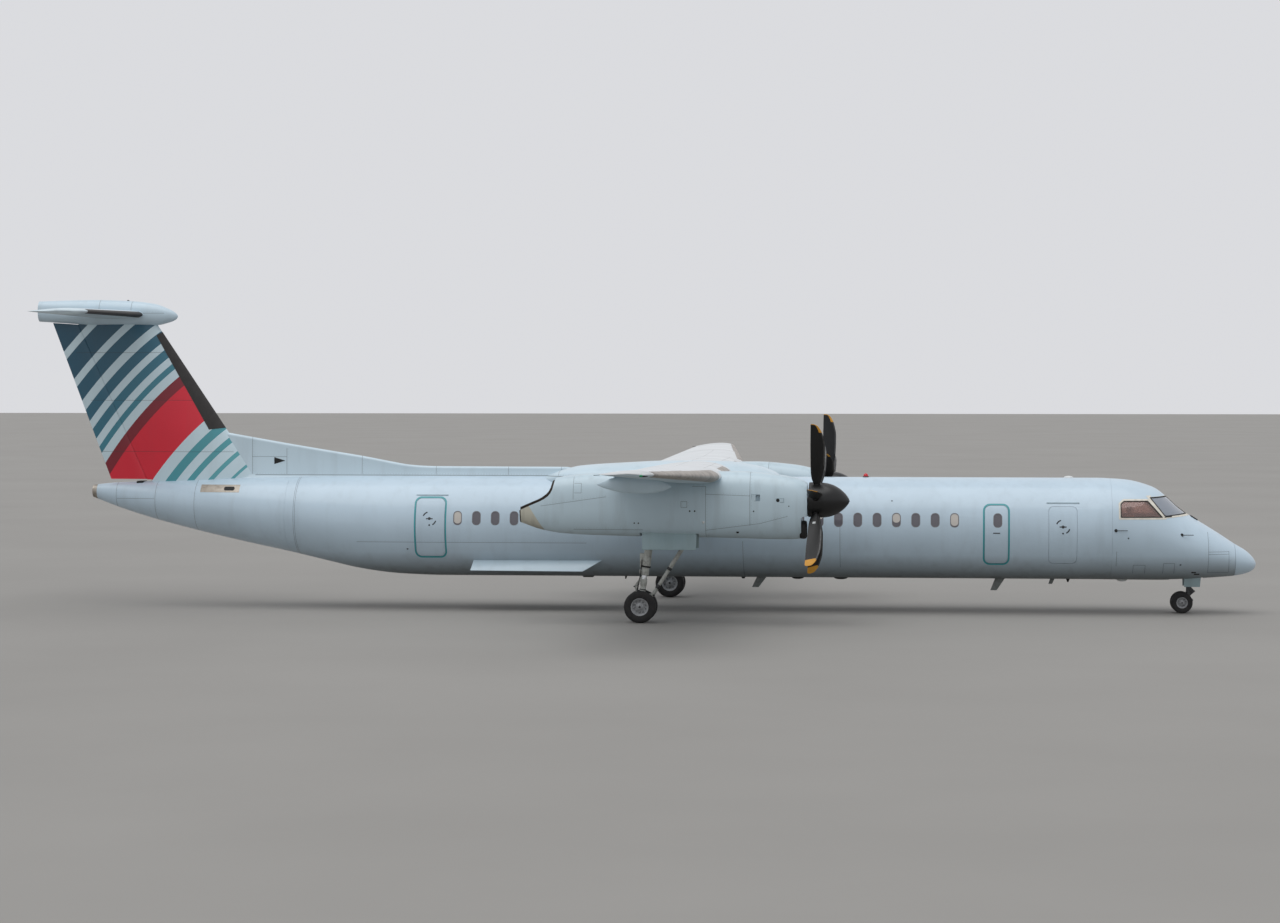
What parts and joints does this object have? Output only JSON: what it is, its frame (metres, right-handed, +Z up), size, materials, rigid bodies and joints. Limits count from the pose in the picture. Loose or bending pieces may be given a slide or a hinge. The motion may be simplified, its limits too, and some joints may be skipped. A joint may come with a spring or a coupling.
{
  "type": "turboprop airliner",
  "caption": "High-wing turboprop airliner on its landing gear, with turning propellers and wheels, a steering nose gear, control surfaces and an airstair door.",
  "frame": {"origin": "on the ground, under the middle of the length, on the centre plane", "axes": "+X forward to the nose, +Y to port, +Z up"},
  "size_m": [32.84, 28.42, 8.3402],
  "materials": {
    "airframe_paint": "satin",
    "wing_paint": "satin",
    "tail_paint": "satin",
    "nacelle_paint": "satin",
    "cockpit_glass": "gloss",
    "cockpit_trim": "matte",
    "engine_steel": "satin",
    "blade_black": "satin",
    "spinner_black": "satin",
    "gear_paint": "satin",
    "wheel_metal": "satin",
    "tyre_rubber": "matte"
  },
  "bodies": {
    "root": {"radome": "airframe_paint", "nose_section": "airframe_paint", "fuselage": "airframe_paint", "tail_cone": "airframe_paint", "windshield_left": "cockpit_glass", "windshield_right": "cockpit_glass", "side_window_left": "cockpit_glass", "side_window_right": "cockpit_glass", "cockpit_interior": "cockpit_trim", "aft_passenger_door": "airframe_paint", "aft_service_door": "airframe_paint", "emergency_exit": "airframe_paint", "forward_baggage_door": "airframe_paint", "aft_baggage_door": "airframe_paint", "wing": "wing_paint", "wing_fairing": "airframe_paint", "flap_inboard_left": "wing_paint", "flap_inboard_right": "wing_paint", "flap_outboard_left": "wing_paint", "flap_outboard_right": "wing_paint", "fin": "tail_paint", "dorsal_fin": "airframe_paint", "tailplane": "tail_paint", "tail_bullet": "tail_paint", "nacelle_left": "nacelle_paint", "nacelle_right": "nacelle_paint", "engine_left": "engine_steel", "engine_right": "engine_steel", "main_leg_left": "gear_paint", "main_leg_right": "gear_paint", "main_gear_door_outer_left": "nacelle_paint", "main_gear_door_outer_right": "nacelle_paint", "main_gear_door_inner_left": "nacelle_paint", "main_gear_door_inner_right": "nacelle_paint", "nose_leg": "gear_paint", "nose_gear_door_left": "airframe_paint", "nose_gear_door_right": "airframe_paint", "strake_left": "airframe_paint", "strake_right": "airframe_paint"},
    "propeller_left": {"propeller_left": "blade_black", "spinner_left": "spinner_black"},
    "propeller_right": {"propeller_right": "blade_black", "spinner_right": "spinner_black"},
    "main_wheels_left": {"main_wheels_left": "wheel_metal", "main_tyre_outer_left": "tyre_rubber", "main_tyre_inner_left": "tyre_rubber"},
    "main_wheels_right": {"main_wheels_right": "wheel_metal", "main_tyre_outer_right": "tyre_rubber", "main_tyre_inner_right": "tyre_rubber"},
    "nose_steering": {"nose_steering_leg": "gear_paint"},
    "nose_wheels": {"nose_wheels": "wheel_metal", "nose_tyre_left": "tyre_rubber", "nose_tyre_right": "tyre_rubber"},
    "airstair_door": {"airstair_door": "airframe_paint"},
    "rudder": {"rudder": "tail_paint"},
    "elevator_left": {"elevator_left": "tail_paint"},
    "elevator_right": {"elevator_right": "tail_paint"},
    "aileron_left": {"aileron_left": "wing_paint"},
    "aileron_right": {"aileron_right": "wing_paint"}
  },
  "joints": [
    {"name": "propeller_left_spin", "type": "hinge", "parent": "root", "child": "propeller_left", "pos_m": [5, 4.395, 3.13], "axis": [0.9994, 0, -0.0349], "continuous": true},
    {"name": "propeller_right_spin", "type": "hinge", "parent": "root", "child": "propeller_right", "pos_m": [5, -4.395, 3.13], "axis": [0.9994, 0, -0.0349], "continuous": true},
    {"name": "main_wheels_left_roll", "type": "hinge", "parent": "root", "child": "main_wheels_left", "pos_m": [0.549, 4.395, 0.4065], "axis": [0, 1, 0], "continuous": true},
    {"name": "main_wheels_right_roll", "type": "hinge", "parent": "root", "child": "main_wheels_right", "pos_m": [0.549, -4.395, 0.4065], "axis": [0, 1, 0], "continuous": true},
    {"name": "nose_steer", "type": "hinge", "parent": "root", "child": "nose_steering", "pos_m": [14.66, 0, 0.76], "axis": [0, 0, 1], "range_deg": [-70, 70]},
    {"name": "nose_wheels_roll", "type": "hinge", "parent": "nose_steering", "child": "nose_wheels", "pos_m": [14.489, 0, 0.2795], "axis": [0, 1, 0], "continuous": true},
    {"name": "airstair_open", "type": "hinge", "parent": "root", "child": "airstair_door", "pos_m": [11.8, 0.868, 1.2], "axis": [-1, 0, 0], "range_deg": [0, 118]},
    {"name": "rudder_turn", "type": "hinge", "parent": "root", "child": "rudder", "pos_m": [-13.4747, 0, 3.45], "axis": [-0.4076, 0, 0.9132], "range_deg": [-18, 18]},
    {"name": "elevator_left_turn", "type": "hinge", "parent": "root", "child": "elevator_left", "pos_m": [-15.0454, 0.43, 7.93], "axis": [0.0095, 1, 0], "range_deg": [-15, 25]},
    {"name": "elevator_right_turn", "type": "hinge", "parent": "root", "child": "elevator_right", "pos_m": [-15.0454, -0.43, 7.93], "axis": [-0.0095, 1, 0], "range_deg": [-15, 25]},
    {"name": "aileron_left_turn", "type": "hinge", "parent": "root", "child": "aileron_left", "pos_m": [0.6912, 9.7, 3.9273], "axis": [0.0318, 0.9989, 0.0357], "range_deg": [-17, 17]},
    {"name": "aileron_right_turn", "type": "hinge", "parent": "root", "child": "aileron_right", "pos_m": [0.6912, -9.7, 3.9273], "axis": [-0.0318, 0.9989, -0.0357], "range_deg": [-17, 17]}
  ],
  "couplings": [
    {"joint": "elevator_right_turn", "follows": "elevator_left_turn", "ratio": 1},
    {"joint": "aileron_right_turn", "follows": "aileron_left_turn", "ratio": -1}
  ]
}
